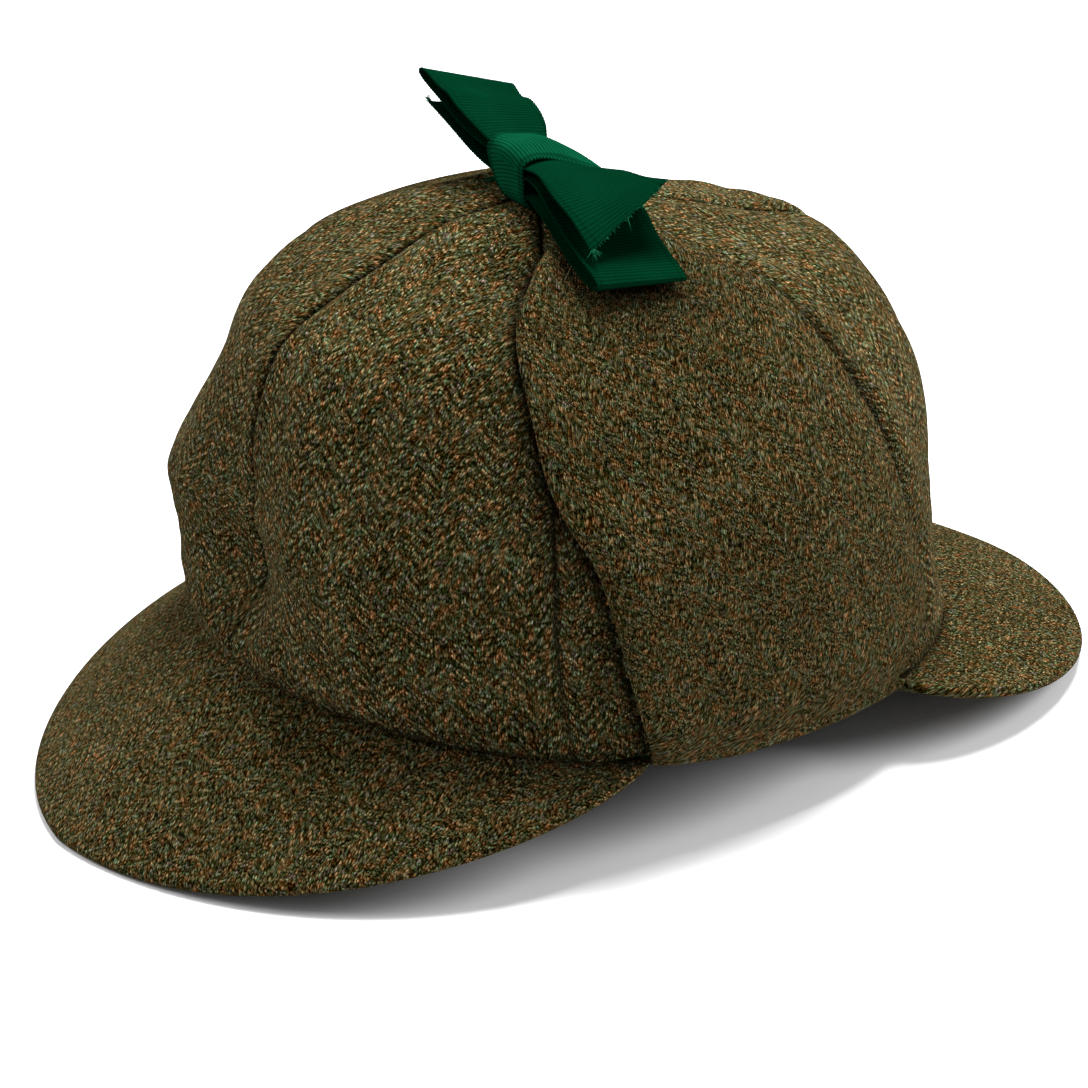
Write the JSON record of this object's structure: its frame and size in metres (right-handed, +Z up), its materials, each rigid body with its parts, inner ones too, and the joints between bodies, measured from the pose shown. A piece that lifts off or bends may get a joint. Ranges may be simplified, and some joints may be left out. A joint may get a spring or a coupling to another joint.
{
  "type": "deerstalker hat",
  "caption": "Tweed deerstalker hat with a peak at the front and the back, a sewn gored crown, and ear flaps folded up and tied over the top with a green ribbon bow.",
  "frame": {"origin": "centre of the hat's outline, seen from above, on the surface that it rests on", "axes": "+Z up, +Y from the front peak to the rear peak, +X towards the wearer's left"},
  "size_m": [0.186, 0.306, 0.1732],
  "materials": {
    "tweed": "olive-brown wool tweed of mixed fibres, herringbone weave, matt and slightly hairy",
    "ribbon": "emerald green grosgrain ribbon with fine cross ribs and a satin sheen"
  },
  "bodies": {
    "root": {"gore_rear_right": "tweed", "gore_side_right": "tweed", "gore_front_right": "tweed", "gore_front_left": "tweed", "gore_side_left": "tweed", "gore_rear_left": "tweed", "front_peak": "tweed", "rear_peak": "tweed", "ear_flap_left": "tweed", "ear_flap_right": "tweed", "inner_band": "ribbon", "ribbon_loop_right": "ribbon", "ribbon_tail_right": "ribbon", "ribbon_loop_left": "ribbon", "ribbon_tail_left": "ribbon", "ribbon_knot": "ribbon", "ribbon_tie_left": "ribbon", "ribbon_tie_right": "ribbon"}
  },
  "joints": []
}
